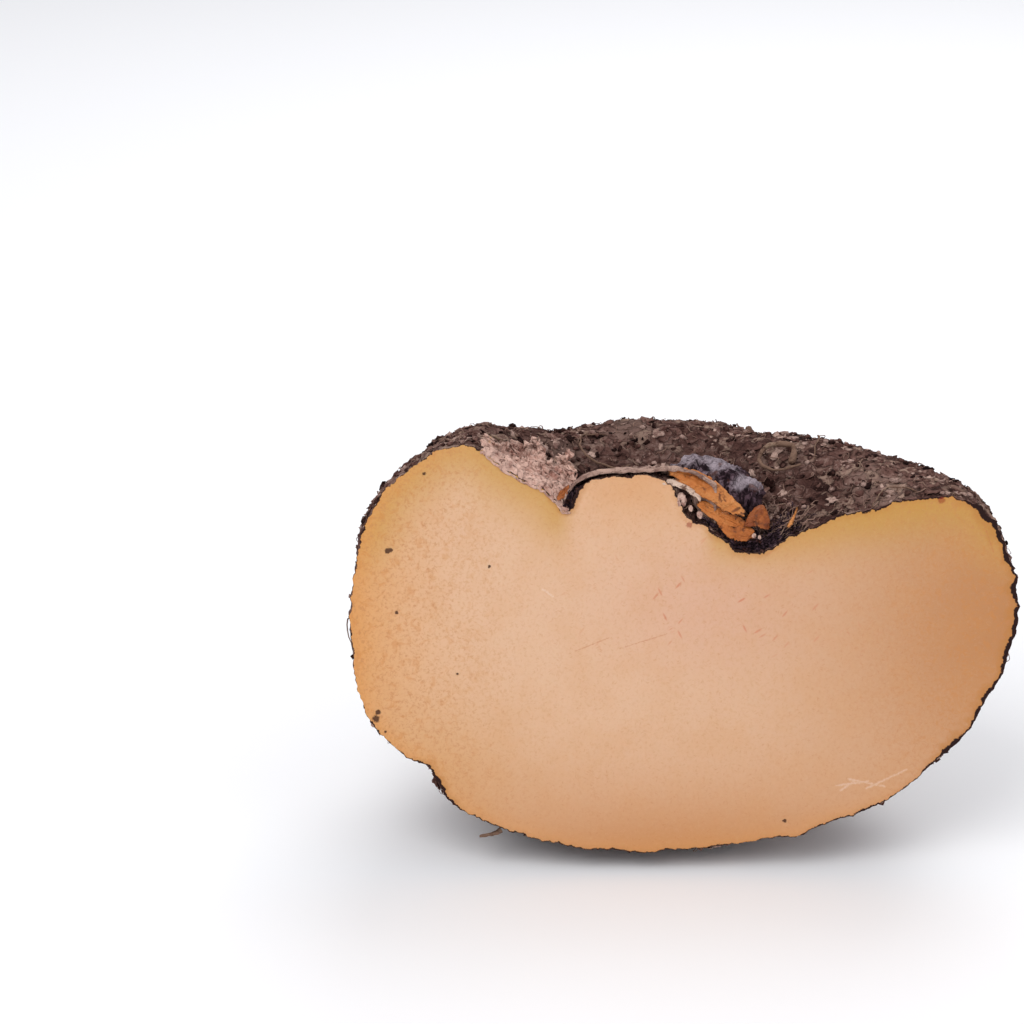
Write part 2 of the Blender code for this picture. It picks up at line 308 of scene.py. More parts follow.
tint_layer = corm_mesh.verts.layers.float_color.new("tint")
rim_layer = corm_mesh.verts.layers.float.new("rim_mm")
rind_layer = corm_mesh.verts.layers.float.new("rind_mm")
fibre_layer = corm_mesh.verts.layers.float.new("fibres")
coarse_layer = corm_mesh.verts.layers.float.new("coarse")
WAVE = 0.16 * MM
flesh_vertices = {vertex for face in flesh_faces() for vertex in face.verts}
for vertex in flesh_vertices:
    across = (vertex.co.x - FACE_X) / MM
    up = corm_place(vertex.co)[2] / MM
    colour = HEART
    for (x, y), (wide, high), tone, strength in ZONES:
        cover = strength * math.exp(-(((across - x) / wide) ** 2) - ((up - y) / high) ** 2)
        colour = colour.lerp(tone, cover)
    to_rim = rim_tree.find(vertex.co)[2]
    by_crown = smooth_share((up - 20) / 25) * smooth_share((abs(across - MOUND_ACROSS) - MOUND_HALF) / 8)
    by_crown *= YELLOW_STRENGTH * math.exp(-((to_rim / EDGE_YELLOW) ** 2))
    colour = colour.lerp(YELLOW, by_crown)
    left_or_low = smooth_share((-60 - across) / 40) + 0.5 * smooth_share((-40 - up) / 15)
    colour = colour.lerp(ORANGE, min(left_or_low, 1.0) * 0.6 * math.exp(-((to_rim / EDGE_ORANGE) ** 2)))
    vertex[tint_layer] = (*colour, 1.0)
    vertex[rim_layer] = to_rim / MM
    near = [(1 / ((across - x) ** 2 + (up - y) ** 2 + 4) ** 2, thick) for x, y, thick in RIND]
    vertex[rind_layer] = sum(weight * thick for weight, thick in near) / sum(weight for weight, _ in near)
    vertex[coarse_layer] = smooth_share((abs(across - 5) - 45) / 55)
    x, y, wide, high = FIBRE_PLACE
    vertex[fibre_layer] = math.exp(-(((across - x) / wide) ** 2) - ((up - y) / high) ** 2)
    vertex.co += CUT_NORMAL * WAVE * noise.noise(vertex.co / (17 * MM)) * smooth_share(to_rim / (6 * MM))
for face in corm_mesh.faces:
    face.smooth = True
for edge in corm_mesh.edges:
    if len({face.material_index for face in edge.link_faces}) == 2:
        edge.smooth = False
corm_mesh.normal_update()
skin_tree = BVHTree.FromBMesh(corm_mesh)
# Where loose things may sit: on the skin, clear of the floor and of the cut.
SITE_ABOVE_FLOOR = 4.5 * MM
SITE_BEHIND_CUT = 0.8 * MM
skin_sites = [
    (vertex.co.copy(), vertex.normal.copy())
    for vertex in corm_mesh.verts
    if vertex not in flesh_vertices
    and vertex.co.z > SITE_ABOVE_FLOOR
    and corm_place(vertex.co)[1] > SITE_BEHIND_CUT
]
corm = link_mesh("corm", corm_mesh)
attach(corm, "root")
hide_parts("corm_half")


# The skin is dark corky brown with paler flakes, pale rings at the scars and fine curled fibres; it is
# darker in the crown's groove, with soil and painted shade. The flesh is moist and fine grained, with short
# red fibres near the middle and a few dark specks; its right lobe is darker, partly as painted shade.


def add(tree, kind, values=None, **settings):
    """A shader node with its settings, its input values and its links."""
    node = tree.nodes.new(kind)
    for key, setting in settings.items():
        setattr(node, key, setting)
    for key, value in (values or {}).items():
        if isinstance(value, bpy.types.NodeSocket):
            tree.links.new(value, node.inputs[key])
        else:
            node.inputs[key].default_value = value
    return node


def maths(tree, operation, first, second=0.0, third=0.0):
    values = {0: first, 1: second, 2: third}
    return add(tree, "ShaderNodeMath", values, operation=operation).outputs[0]


def mixed(tree, share, low, high, blend_type="MIX"):
    """Colours low and high mixed by share; each may be a colour or a socket."""
    values = {0: share}
    for key, colour in ((6, low), (7, high)):
        values[key] = colour if isinstance(colour, bpy.types.NodeSocket) else (*colour, 1.0)
    node = add(tree, "ShaderNodeMix", values, data_type="RGBA", blend_type=blend_type)
    return node.outputs[2]


def spread(tree, value, low, high, bottom=0.0, top=1.0):
    """A value's range from low to high drawn out smoothly from bottom to top."""
    values = {0: value, 1: low, 2: high, 3: bottom, 4: top}
    return add(tree, "ShaderNodeMapRange", values, interpolation_type="SMOOTHSTEP").outputs[0]


def clouds(tree, where, scale, detail=3.0, rough=0.55, kind="FBM", stray=0.0):
    values = {"Vector": where, "Scale": scale, "Detail": detail, "Roughness": rough, "Distortion": stray}
    return add(tree, "ShaderNodeTexNoise", values, noise_type=kind).outputs["Fac"]


def attribute(tree, name, output="Fac"):
    return add(tree, "ShaderNodeAttribute", attribute_name=name).outputs[output]


def new_material(name, roughness, specular=0.3):
    """A material's tree, its shader and its Object coordinates."""
    material = bpy.data.materials.new(name)
    material.use_nodes = True
    tree = material.node_tree
    shader = tree.nodes["Principled BSDF"]
    shader.inputs["Roughness"].default_value = roughness
    shader.inputs["Specular IOR Level"].default_value = specular
    where = add(tree, "ShaderNodeTexCoord").outputs["Object"]
    return material, tree, shader, where


def bump(tree, shader, height, distance, strength=1.0):
    values = {"Height": height, "Distance": distance, "Strength": strength}
    tree.links.new(add(tree, "ShaderNodeBump", values).outputs[0], shader.inputs["Normal"])


def tinted(tree, colour, mask, strength, tone):
    """The colour with a tone laid over it, by a mask times a strength."""
    return mixed(tree, maths(tree, "MULTIPLY", mask, strength), colour, tone)


def surface(tree, shader, colour, height, distance, strength=1.0):
    tree.links.new(colour, shader.inputs["Base Color"])
    bump(tree, shader, height, distance, strength)


def corky_group():
    """Corky crust for skin, scales and roots: its mottle, cracks, pale flakes, fibres and height."""
    group = bpy.data.node_groups.new("corky crust", "ShaderNodeTree")
    group.interface.new_socket("Vector", in_out="INPUT", socket_type="NodeSocketVector")
    group.interface.new_socket("Grain", in_out="INPUT", socket_type="NodeSocketFloat")
    for name in ("Mottle", "Cracks", "Flakes", "Fibres", "Height"):
        group.interface.new_socket(name, in_out="OUTPUT", socket_type="NodeSocketFloat")
    inside = group.nodes.new("NodeGroupInput").outputs
    out = group.nodes.new("NodeGroupOutput").inputs
    where, grain = inside["Vector"], inside["Grain"]
    stray = add(group, "ShaderNodeTexNoise", {"Vector": where, "Scale": maths(group, "MULTIPLY", grain, 0.6)})
    stray = add(
        group, "ShaderNodeVectorMath", {0: stray.outputs["Color"], 1: (0.5, 0.5, 0.5)}, operation="SUBTRACT"
    )
    reach = maths(group, "DIVIDE", 2.2, grain)
    stray = add(group, "ShaderNodeVectorMath", {0: stray.outputs[0], "Scale": reach}, operation="SCALE")
    warped = add(group, "ShaderNodeVectorMath", {0: where, 1: stray.outputs[0]}).outputs[0]
    size = maths(group, "MULTIPLY", grain, 0.55)
    cells = add(group, "ShaderNodeTexVoronoi", {"Vector": warped, "Scale": size})
    tone = add(group, "ShaderNodeSeparateColor", {0: cells.outputs["Color"]}).outputs[0]
    edge = add(group, "ShaderNodeTexVoronoi", {"Vector": warped, "Scale": size}, feature="DISTANCE_TO_EDGE")
    cracks = spread(group, edge.outputs["Distance"], 0.09, 0.0)
    mottle = clouds(group, warped, grain, 6.0, 0.7)
    wide = clouds(group, where, maths(group, "MULTIPLY", grain, 0.14), 4.0, 0.6)
    flakes = maths(group, "MULTIPLY", spread(group, tone, 0.78, 0.86), spread(group, mottle, 0.42, 0.56))
    fibres = clouds(group, warped, maths(group, "MULTIPLY", grain, 0.5), 3.0, 0.6, "RIDGED_MULTIFRACTAL")
    fibres = spread(group, fibres, 0.80, 1.15)
    mottled = maths(group, "MULTIPLY_ADD", wide, 0.4, maths(group, "MULTIPLY", mottle, 0.75))
    mottled = maths(group, "MULTIPLY_ADD", tone, 0.12, mottled)
    height = maths(group, "MULTIPLY_ADD", mottle, 1.4, maths(group, "MULTIPLY", tone, 0.35))
    height = maths(group, "MULTIPLY_ADD", cracks, -0.5, height)
    height = maths(group, "MULTIPLY_ADD", fibres, 0.3, height)
    values = (mottled, cracks, flakes, fibres, height)
    for name, value in zip(("Mottle", "Cracks", "Flakes", "Fibres", "Height"), values):
        group.links.new(value, out[name])
    return group


corky = corky_group()


def corky_outputs(tree, where, grain):
    node = tree.nodes.new("ShaderNodeGroup")
    node.node_tree = corky
    tree.links.new(where, node.inputs["Vector"])
    node.inputs["Grain"].default_value = grain
    return node.outputs


def skin_material():
    material, tree, shader, where = new_material("corm_skin", 0.86, 0.06)
    cork = corky_outputs(tree, where, 330.0)
    dark, brown, grey = (0.014, 0.005, 0.004), (0.165, 0.082, 0.066), (0.470, 0.310, 0.260)
    colour = mixed(tree, spread(tree, cork["Mottle"], 0.46, 0.66), dark, brown)
    colour = mixed(tree, spread(tree, cork["Mottle"], 0.62, 0.84, 0.0, 0.9), colour, grey)
    patches = clouds(tree, where, 34.0, 4.0, 0.6)
    colour = mixed(tree, spread(tree, patches, 0.50, 0.64, 0.0, 0.55), colour, (0.330, 0.215, 0.175))
    colour = mixed(tree, spread(tree, patches, 0.47, 0.36, 0.0, 0.60), colour, (0.080, 0.034, 0.027))
    colour = tinted(tree, colour, cork["Flakes"], 0.7, (0.460, 0.310, 0.235))
    colour = tinted(tree, colour, cork["Fibres"], 0.5, (0.360, 0.235, 0.175))
    colour = tinted(tree, colour, cork["Cracks"], 0.35, (0.016, 0.006, 0.005))
    scar = maths(tree, "ADD", attribute(tree, "scar"), maths(tree, "MULTIPLY", cork["Mottle"], 0.4))
    tone = attribute(tree, "scar_tone")
    ring = maths(tree, "MULTIPLY", spread(tree, scar, 0.66, 0.92), spread(tree, scar, 1.32, 1.08))
    ring = maths(tree, "MULTIPLY", ring, spread(tree, tone, 0.15, 0.9, 0.1, 0.8))
    colour = mixed(tree, ring, colour, (0.440, 0.290, 0.220))
    pit = maths(tree, "MULTIPLY", spread(tree, scar, 0.78, 0.6), spread(tree, scar, 0.42, 0.52))
    colour = tinted(tree, colour, pit, 0.8, (0.030, 0.012, 0.009))
    # Darker in the crown's groove: dark soil with painted shade laid over it.
    colour = tinted(tree, colour, attribute(tree, "soil_and_shade"), 0.45, (0.035, 0.014, 0.012))
    surface(tree, shader, colour, cork["Height"], 1.0 * MM)
    return material


# Dark specks on the cut, where small roots and buds ran through: (across, up, radius) in mm.
SPECKS = (
    (-94.6, 36.3, 0.8),
    (-93.6, 36.5, 0.7),
    (-98.9, -20.6, 1.1),
    (-98.2, -18.4, 0.8),
    (-95.8, -25.1, 0.4),
    (-91.8, 15.5, 0.5),
    (-61.3, 31.0, 0.45),
    (-71.9, -5.3, 0.35),
    (36.9, -55.9, 0.6),
    (79.5, 58.0, 0.5),
    (-82.5, 62.0, 0.5),
)
RED_SPECKS = ((86.1, 53.2, 1.0), (4.0, 45.0, 0.9))
# Marks of the knife: (across, up) of both ends in mm.
PALE_MARKS = (
    ((54.0, -43.6), (64.5, -42.2)),
    ((58.0, -41.4), (70.0, -44.0)),
    ((64.0, -44.6), (77.0, -38.2)),
    ((55.5, -45.2), (60.0, -41.8)),
    ((-44.0, 23.5), (-40.5, 21.0)),
)
RED_MARKS = (((-18.5, 3.3), (-3.0, 8.3)), ((-33.0, 2.5), (-22.0, 7.0)), ((101.0, 43.0), (103.5, 36.0)))


def in_corm(across, up, behind=0.0):
    """The point so many mm across, up from the cut's middle and behind the cut."""
    point = CUT_POINT + CUT_UP * (up * MM) - CUT_NORMAL * (behind * MM)
    return Vector((FACE_X + across * MM, point.y, point.z))


def speck_mask(tree, where, ragged, specks):
    """1 within each speck, with a ragged edge."""
    mask = 0.0
    for across, up, radius in specks:
        values = {0: where, 1: in_corm(across, up)}
        away = add(tree, "ShaderNodeVectorMath", values, operation="DISTANCE").outputs["Value"]
        away = maths(tree, "MULTIPLY_ADD", ragged, 0.5 * radius * MM, away)
        mask = maths(tree, "MAXIMUM", spread(tree, away, radius * 1.35 * MM, radius * 0.75 * MM), mask)
    return mask


def mark_mask(tree, where, ragged, width, marks):
    """1 along each thin mark, with a ragged edge."""
    mask = 0.0
    for start, end in marks:
        start, end = in_corm(*start), in_corm(*end)
        line = end - start
        offset = add(tree, "ShaderNodeVectorMath", {0: where, 1: start}, operation="SUBTRACT").outputs[0]
        share = add(tree, "ShaderNodeVectorMath", {0: offset, 1: line}, operation="DOT_PRODUCT")
        share = maths(tree, "DIVIDE", share.outputs["Value"], line.length_squared)
        share = add(tree, "ShaderNodeClamp", {0: share}).outputs[0]
        nearest = add(tree, "ShaderNodeVectorMath", {0: line, "Scale": share}, operation="SCALE").outputs[0]
        away = add(tree, "ShaderNodeVectorMath", {0: offset, 1: nearest}, operation="DISTANCE")
        away = maths(tree, "MULTIPLY_ADD", ragged, 0.9 * width * MM, away.outputs["Value"])
        mask = maths(tree, "MAXIMUM", spread(tree, away, width * MM, 0.0), mask)
    return mask


def strokes(tree, where, turn, scale, longer, share):
    """Short strokes at a slant across the cut: sparse cells drawn out along one direction."""
    turned = add(tree, "ShaderNodeMapping", {"Vector": where, "Rotation": (0.0, turn, 0.0)}).outputs[0]
    drawn_out = add(tree, "ShaderNodeMapping", {"Vector": turned, "Scale": (1 / longer, 0.4, 1.0)}).outputs[0]
    cells = add(tree, "ShaderNodeTexVoronoi", {"Vector": drawn_out, "Scale": scale})
    chosen = add(tree, "ShaderNodeSeparateColor", {0: cells.outputs["Color"]}).outputs[0]
    near = spread(tree, cells.outputs["Distance"], 0.26, 0.10)
    return maths(tree, "MULTIPLY", near, spread(tree, chosen, 1 - share, 1 - share + 0.02))


def flesh_material():
    material, tree, shader, where = new_material("corm_flesh", 0.5, 0.12)
    colour = attribute(tree, "tint", "Color")
    mottle = clouds(tree, where, 70.0, 4.0, 0.6)
    colour = mixed(tree, spread(tree, mottle, 0.40, 0.66, 0.0, 0.16), colour, (0.640, 0.310, 0.120))
    rim = attribute(tree, "rim_mm")
    coarse = attribute(tree, "coarse")
    blotches = clouds(tree, where, 380.0, 3.0, 0.6, stray=0.8)
    blotches = maths(tree, "MULTIPLY", spread(tree, blotches, 0.50, 0.68, 0.0, 0.40), coarse)
    colour = mixed(tree, blotches, colour, (0.600, 0.240, 0.065))
    grain = clouds(tree, where, 1000.0, 3.0, 0.65, stray=0.6)
    grain_share = maths(tree, "MULTIPLY_ADD", coarse, 0.44, 0.22)
    dark_grain = maths(tree, "MULTIPLY", spread(tree, grain, 0.48, 0.70), grain_share)
    colour = mixed(tree, dark_grain, colour, (0.560, 0.250, 0.100))
    colour = mixed(tree, spread(tree, grain, 0.44, 0.34, 0.0, 0.05), colour, (0.820, 0.590, 0.410))
    for turn in (0.5, -0.4, 1.4):
        fine = strokes(tree, where, turn, 1000.0, 3.0, 0.34)
        colour = tinted(tree, colour, fine, 0.22, (0.520, 0.200, 0.070))
    fibre_share = attribute(tree, "fibres")
    for turn in (0.55, 0.85, -1.1):
        fibre = maths(tree, "MULTIPLY", strokes(tree, where, turn, 560.0, 4.5, 0.14), fibre_share)
        colour = tinted(tree, colour, fibre, 0.75, (0.620, 0.210, 0.110))
    rind = attribute(tree, "rind_mm")
    ragged = clouds(tree, where, 620.0, 5.0, 0.75)
    wide_ragged = clouds(tree, where, 150.0, 2.0)
    reach = maths(tree, "MULTIPLY", rind, spread(tree, wide_ragged, 0.38, 0.62, 0.45, 1.35))
    depth = maths(tree, "MULTIPLY_ADD", ragged, 2.0, rim)
    depth = maths(tree, "DIVIDE", depth, maths(tree, "ADD", reach, 1.0))
    stain = maths(tree, "MULTIPLY", spread(tree, depth, 2.6, 1.0), spread(tree, rind, 0.1, 0.9, 0.1, 0.65))
    colour = mixed(tree, stain, colour, (0.500, 0.210, 0.055))
    colour = mixed(tree, spread(tree, depth, 1.12, 0.98), colour, (0.022, 0.008, 0.007))
    frayed = clouds(tree, where, 1300.0, 3.0, 0.7)
    edge_noise = maths(tree, "MULTIPLY", maths(tree, "SUBTRACT", frayed, 0.5), 3.0)
    dark = speck_mask(tree, where, maths(tree, "MULTIPLY", edge_noise, 1.2), SPECKS)
    colour = tinted(tree, colour, dark, 0.9, (0.060, 0.024, 0.016))
    red = speck_mask(tree, where, maths(tree, "MULTIPLY", edge_noise, 1.2), RED_SPECKS)
    colour = tinted(tree, colour, red, 0.6, (0.300, 0.040, 0.020))
    pale_mark = mark_mask(tree, where, edge_noise, 0.55, PALE_MARKS)
    colour = tinted(tree, colour, pale_mark, 0.34, (0.860, 0.680, 0.560))
    red_mark = mark_mask(tree, where, edge_noise, 0.32, RED_MARKS)
    colour = tinted(tree, colour, red_mark, 0.42, (0.520, 0.170, 0.080))
    tree.links.new(colour, shader.inputs["Base Color"])
    height = maths(tree, "MULTIPLY_ADD", dark, -2.0, maths(tree, "MULTIPLY", grain, 0.5))
    height = maths(tree, "MULTIPLY_ADD", clouds(tree, where, 240.0, 2.0), 0.6, height)
    bump(tree, shader, height, 0.25 * MM, 0.6)
    shader.inputs["Subsurface Weight"].default_value = 0.12
    shader.inputs["Subsurface Radius"].default_value = (0.004, 0.002, 0.001)
    shader.inputs["Subsurface Scale"].default_value = 1.0
    return material


corm.data.materials.append(skin_material())
corm.data.materials.append(flesh_material())

# ---- Soil crumbs and bark flakes -----------------------------------------------------------------
# Crumbs of dried soil and loose corky flakes, mostly 1 to 3 mm across and the largest about 5 mm, that
# stick all over the skin. Crumbs are uneven little balls and flakes are little bent plates.

CRUMBS = 5700
FLAKES = 1650


def crumb_material(name, low, high, pale, grain):
    """Dark to pale by the piece's own tone, mottled."""
    material, tree, shader, where = new_material(name, 0.92, 0.06)
    cork = corky_outputs(tree, where, grain)
    tone = maths(tree, "MULTIPLY_ADD", cork["Mottle"], 1.2, attribute(tree, "tone"))
    colour = mixed(tree, spread(tree, tone, 0.75, 1.35), low, high)
    colour = mixed(tree, spread(tree, tone, 1.35, 1.75), colour, pale)
    surface(tree, shader, colour, cork["Height"], 0.5 * MM)
    return material


def facing(normal, spin):
    """Turns +Z to a normal, after a spin about it."""
    return normal.to_track_quat("Z", "Y").to_matrix().to_4x4() @ Matrix.Rotation(spin, 4, "Z")


ABOVE_FLOOR = 0.3 * MM


def finish(mesh, name, material, slot, *replaced):
    """The finished piece: smooth, clear of the floor, riding on the root body, in place of its nodes."""
    for face in mesh.faces:
        face.smooth = True
    for vertex in mesh.verts:
        vertex.co.z = max(vertex.co.z, ABOVE_FLOOR)
    piece = link_mesh(name, mesh)
    piece.data.materials.append(material)
    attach(piece, "root")
    if replaced:
        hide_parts(*replaced)
    return piece


CROWN_FROM = 34 * MM
CAKE_SPREAD = 16 * MM
crown_sites = [site for site in skin_sites if corm_place(site[0])[2] > CROWN_FROM]
caked_sites = [site for site in skin_sites if noise.noise(site[0] / CAKE_SPREAD) > 0.12]
BATCH = 150


def scatter(count, draw, add_one):
    """A bmesh of many small pieces, made in batches: add_one(mesh, point, normal) gives one's vertices."""
    whole = bmesh.new()
    for first in range(0, count, BATCH):
        few = bmesh.new()
        tone_layer = few.verts.layers.float.new("tone")
        for index in range(first, min(first + BATCH, count)):
            point, normal = draw.choice((crown_sites, caked_sites, skin_sites)[index % 3])
            tone = draw.random()
            for vertex in add_one(few, point, normal):
                vertex[tone_layer] = tone
        data = bpy.data.meshes.new("few")
        few.to_mesh(data)
        few.free()
        whole.from_mesh(data)
        bpy.data.meshes.remove(data)
    return whole


def add_crumb(mesh, point, normal):
    size = (0.25 + 1.35 * strew.random() ** 3) * MM
    squash = Matrix.Diagonal((strew.uniform(0.8, 1.6), strew.uniform(0.6, 1.1), strew.uniform(0.4, 0.8), 1.0))
    place = Matrix.Translation(point + normal * size * 0.1) @ facing(normal, strew.uniform(0, math.tau))
    made = bmesh.ops.create_icosphere(mesh, subdivisions=1, radius=size, matrix=place @ squash)["verts"]
    for vertex in made:
        vertex.co += noise.noise_vector(vertex.co / (0.9 * MM)) * size * 0.6
    return made


def add_flake(mesh, point, normal):
    """A small bent grid, pulled about so that its outline is angular."""
    size = (0.6 + 1.9 * strew.random() ** 2) * MM
    tilt = Matrix.Rotation(strew.uniform(-0.35, 0.35), 4, "X")
    shape = Matrix.Diagonal((size, size * strew.uniform(0.35, 0.8), 1.0, 1.0))
    place = Matrix.Translation(point + normal * 0.2 * MM) @ facing(normal, strew.uniform(0, math.tau))
    place = place @ tilt @ shape
    made = bmesh.ops.create_grid(mesh, x_segments=3, y_segments=3, size=1.0, matrix=place)["verts"]
    bend = strew.uniform(-0.05, 0.3) / size
    for vertex in made:
        flat = vertex.co - point
        flat -= normal * flat.dot(normal)
        uneven = noise.noise_vector(vertex.co / (0.8 * MM)) * size * 0.45
        vertex.co += normal * flat.length_squared * bend + uneven
    return made


strew = random.Random(23)
noise.seed_set(23)  # without it, noise_vector differs from one run to the next
dry_soil = crumb_material(
    "dry_soil", (0.010, 0.003, 0.003), (0.140, 0.066, 0.054), (0.480, 0.320, 0.270), 700.0
)
finish(scatter(CRUMBS, strew, add_crumb), "soil_crumbs", dry_soil, "skin")
loose_bark = crumb_material(
    "loose_bark", (0.016, 0.005, 0.004), (0.170, 0.086, 0.070), (0.520, 0.350, 0.290), 500.0
)
flakes = finish(scatter(FLAKES, strew, add_flake), "bark_flakes", loose_bark, "skin")
thick = flakes.modifiers.new("thick", "SOLIDIFY")
thick.thickness = 0.25 * MM

# ---- Root hairs ----------------------------------------------------------------------------------
# Dry root hairs and torn fibres, 1 to 6 mm long, that lie in curls over the skin, thickest on the crown
# behind the cut. Each is a thin tapering thread laid over the skin.

HAIRS = 1300
HAIR_POINTS = 6
HAIR_RADIUS = (0.09 * MM, 0.26 * MM)


def walk(start, normal, heading, step, points, curl, lift_height, draw):
    """A path over the skin: each step follows the heading, which turns by chance. It ends at the cut."""
    path = []
    turn = draw.uniform(-curl, curl)
    for index in range(points):
        share = index / (points - 1)
        path.append(start + normal * lift_height * math.sin(math.pi * share))
        heading = (Matrix.Rotation(turn + draw.uniform(-curl, curl) * 0.6, 3, normal) @ heading).normalized()
        heading = (heading - normal * heading.dot(normal)).normalized()
        found = skin_tree.find_nearest(start + heading * step)
        if corm_place(found[0])[1] < 0.9 * MM:
            break
        start, normal = found[0], found[1]
    return path


def threads(name, paths, sides):
    """Tapering tubes along the paths, each (points, thick end's radius, thin end's radius), as a bmesh."""
    curve = bpy.data.curves.new(name, "CURVE")
    curve.dimensions = "3D"
    curve.bevel_depth = 1.0
    curve.bevel_resolution = (sides - 4) // 2
    curve.use_fill_caps = True
    for points, thick, thin in paths:
        spline = curve.splines.new("POLY")
        spline.points.add(len(points) - 1)
        for index, (knot, point) in enumerate(zip(spline.points, points)):
            knot.co = (*point, 1.0)
            knot.radius = thick + (thin - thick) * index / (len(points) - 1)
    obj = bpy.data.objects.new(name, curve)
    bpy.context.scene.collection.objects.link(obj)
    tubes = settle(obj)
    bmesh.ops.remove_doubles(tubes, verts=tubes.verts[:], dist=0.002 * MM)
    bmesh.ops.recalc_face_normals(tubes, faces=tubes.faces[:])
    return tubes


def root_material(name, low, high, grain):
    material, tree, shader, where = new_material(name, 0.8, 0.08)
    cork = corky_outputs(tree, where, grain)
    colour = mixed(tree, spread(tree, cork["Mottle"], 0.38, 0.64), low, high)
    colour = tinted(tree, colour, cork["Flakes"], 0.35, (0.440, 0.320, 0.230))
    surface(tree, shader, colour, cork["Height"], 0.3 * MM)
    return material


comb = random.Random(5)
hair_paths = []
for index in range(HAIRS):
    point, normal = comb.choice(crown_sites if index % 2 else skin_sites)
    spin = comb.uniform(0, math.tau)
    heading = facing(normal, spin).to_3x3() @ Vector((1.0, 0.0, 0.0))
    length = comb.uniform(1.5, 7.0) * MM
    thick = comb.uniform(*HAIR_RADIUS)
    path = walk(
        point, normal, heading, length / HAIR_POINTS, HAIR_POINTS, 0.7, comb.uniform(0.2, 1.4) * MM, comb
    )
    path[0] = point - normal * 0.2 * MM
    if len(path) > 2:
        hair_paths.append((path, thick, thick * 0.5))
dry_fibre = root_material("dry_fibre", (0.045, 0.019, 0.015), (0.290, 0.175, 0.135), 500.0)
finish(threads("root_hairs", hair_paths, 4), "root_hairs", dry_fibre, "root")

# ---- Dry roots -----------------------------------------------------------------------------------
# The thick roots that fed the corm, dried to wrinkled brown cords 1.5 to 2 mm thick. The frame's six
# plain roots are roughened; thinner ones wander over the skin.

WRINKLE = 0.28 * MM
THIN_ROOTS = 22


def wrinkle(node, cuts, relief):
    """A CAD node's solid split finely and moved along its normals by relief(point)."""
    mesh = merged_copy(node)
    bmesh.ops.subdivide_edges(mesh, edges=mesh.edges[:], cuts=cuts, use_grid_fill=True)
    bmesh.ops.triangulate(mesh, faces=[face for face in mesh.faces if len(face.verts) > 4])
    mesh.normal_update()
    moves = [(vertex, vertex.normal * relief(vertex.co)) for vertex in mesh.verts]
    for vertex, move in moves:
        vertex.co += move
    return mesh


def root_relief(point):
    return WRINKLE * (noise.noise(point / (1.4 * MM)) + 0.8 * noise.noise(point / (4.5 * MM)))


dry_root = root_material("dry_root", (0.045, 0.020, 0.014), (0.210, 0.125, 0.088), 520.0)
for node in sorted(frame["nodes"]):
    if node.startswith("rootlet"):
        finish(wrinkle(node, 1, root_relief), node + "_wrinkled", dry_root, "root", node)

root_paths = []
for _ in range(THIN_ROOTS):
    point, normal = comb.choice(skin_sites)
    heading = facing(normal, comb.uniform(0, math.tau)).to_3x3() @ Vector((1.0, 0.0, 0.0))
    steps = comb.randint(10, 22)
    thick = comb.uniform(0.3, 0.55) * MM
    path = walk(point, normal, heading, 2.2 * MM, steps, 0.28, comb.uniform(0.4, 2.5) * MM, comb)
    path = [place + normal * thick * 0.6 for place in path]
    if len(path) > 5:
        root_paths.append((path, thick, thick * 0.4))
finish(threads("thin_roots", root_paths, 8), "thin_roots", dry_root, "root")

# ---- Papery scales -------------------------------------------------------------------------------
# Dry scale leaves as thin as paper, cut through with the corm: a crumpled pinkish one over the left
# shoulder's inner slope, and a thin sheath that arches over the bud mound with a gap beneath.


def sheet(columns, rows, place):
    """A sheet over a grid from -1 to 1 each way: place(u, v) is each point, or None where it is torn."""
    mesh = bmesh.new()
    bmesh.ops.create_grid(mesh, x_segments=columns, y_segments=rows, size=1.0)
    torn_off = []
    for vertex in mesh.verts:
        spot = place(vertex.co.x, vertex.co.y)
        if spot is None:
            torn_off.append(vertex)
        else:
            vertex.co = spot
    bmesh.ops.delete(mesh, geom=torn_off, context="VERTS")
    return mesh


def thicken(piece, thickness):
    solid = piece.modifiers.new("thickness", "SOLIDIFY")
    solid.thickness = thickness
    solid.offset = 0.0


def over_crown(across, behind, height):
    """The point height mm above the crown's skin, so far across and behind the cut in mm."""
    start = in_corm(across, 110, max(behind, 0.35))
    place, normal, _, _ = skin_tree.ray_cast(start, -CUT_UP)
    return place + normal * (height * MM) - CUT_NORMAL * ((behind - max(behind, 0.35)) * MM)


def crumple(point, size, depth):
    """Creases of the size and depth given, in mm."""
    ridge = 1 - abs(noise.noise(point / (size * MM))) * 3.2
    return depth * (ridge + 0.5 * noise.noise(point / (size * 0.35 * MM)))


def ragged(u, v, seed, amount):
    """How far inside a ragged oval outline, from 1 in the middle to below 0 outside."""
    edge = noise.noise(Vector((u * 2.5, v * 2.5, seed))) + 0.6 * noise.noise(Vector((u * 8, v * 8, seed)))
    return 1 - (abs(u) ** 3 + abs(v) ** 3) + amount * edge


def paper_material(name, low, high, pale):
    material, tree, shader, where = new_material(name, 0.7, 0.15)
    cork = corky_outputs(tree, where, 420.0)
    colour = mixed(tree, spread(tree, cork["Mottle"], 0.48, 0.72), low, high)
    colour = tinted(tree, colour, cork["Fibres"], 0.7, pale)
    stains = clouds(tree, where, 260.0, 4.0, 0.7)
    colour = mixed(tree, spread(tree, stains, 0.58, 0.66, 0.0, 0.85), colour, (0.110, 0.045, 0.032))
    colour = mixed(tree, spread(tree, stains, 0.40, 0.32, 0.0, 0.6), colour, (0.560, 0.300, 0.130))
    colour = tinted(tree, colour, cork["Cracks"], 0.12, (0.120, 0.048, 0.035))
    surface(tree, shader, colour, cork["Height"], 0.6 * MM)
    return material


